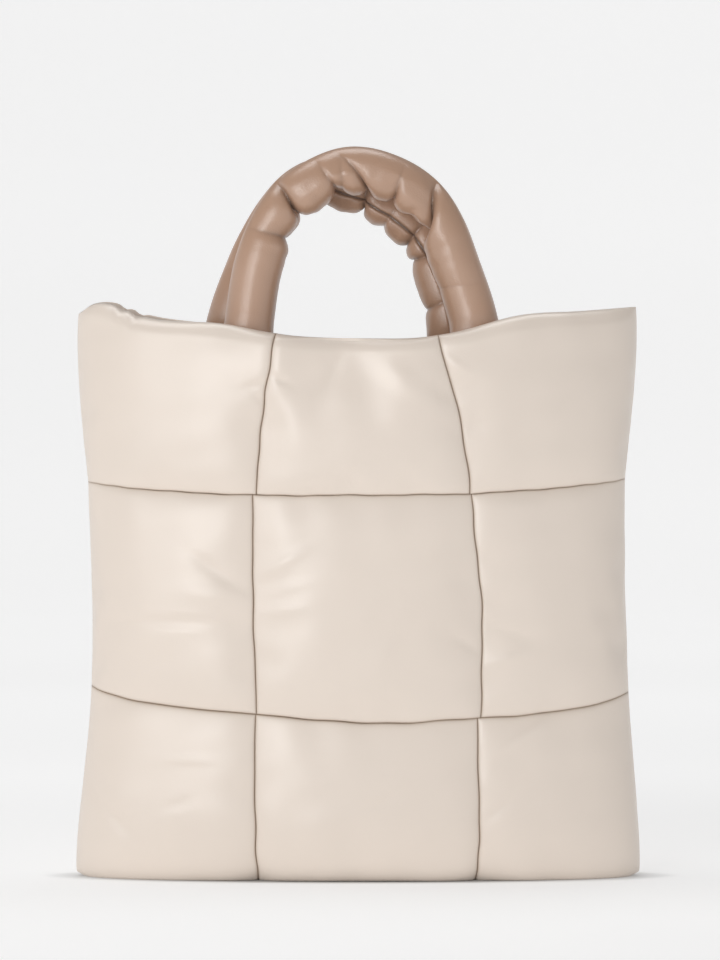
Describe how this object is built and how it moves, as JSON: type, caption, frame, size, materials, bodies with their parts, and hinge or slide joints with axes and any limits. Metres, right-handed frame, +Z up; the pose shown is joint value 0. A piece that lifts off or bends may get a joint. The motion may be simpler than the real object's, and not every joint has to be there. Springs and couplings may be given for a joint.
{
  "type": "quilted tote bag",
  "caption": "Upright padded tote bag of large quilted leather squares, with a pair of padded tube handles sewn inside its open rim.",
  "frame": {"origin": "centre of the bounding box on the plane that the bag stands on", "axes": "+Z up, front panel facing -Y, +X to the right seen from the front, side seams on the plane y = 0"},
  "size_m": [0.4135, 0.1276, 0.53],
  "materials": {
    "shell_leather": "soft semi-gloss, ecru",
    "handle_leather": "semi-gloss, tan"
  },
  "bodies": {
    "root": {"front_square_bottom_left": "shell_leather", "front_square_bottom_centre": "shell_leather", "front_square_bottom_right": "shell_leather", "front_square_middle_left": "shell_leather", "front_square_middle_centre": "shell_leather", "front_square_middle_right": "shell_leather", "front_square_top_left": "shell_leather", "front_square_top_centre": "shell_leather", "front_square_top_right": "shell_leather", "back_square_bottom_left": "shell_leather", "back_square_bottom_centre": "shell_leather", "back_square_bottom_right": "shell_leather", "back_square_middle_left": "shell_leather", "back_square_middle_centre": "shell_leather", "back_square_middle_right": "shell_leather", "back_square_top_left": "shell_leather", "back_square_top_centre": "shell_leather", "back_square_top_right": "shell_leather", "front_handle": "handle_leather", "back_handle": "handle_leather"}
  },
  "joints": []
}
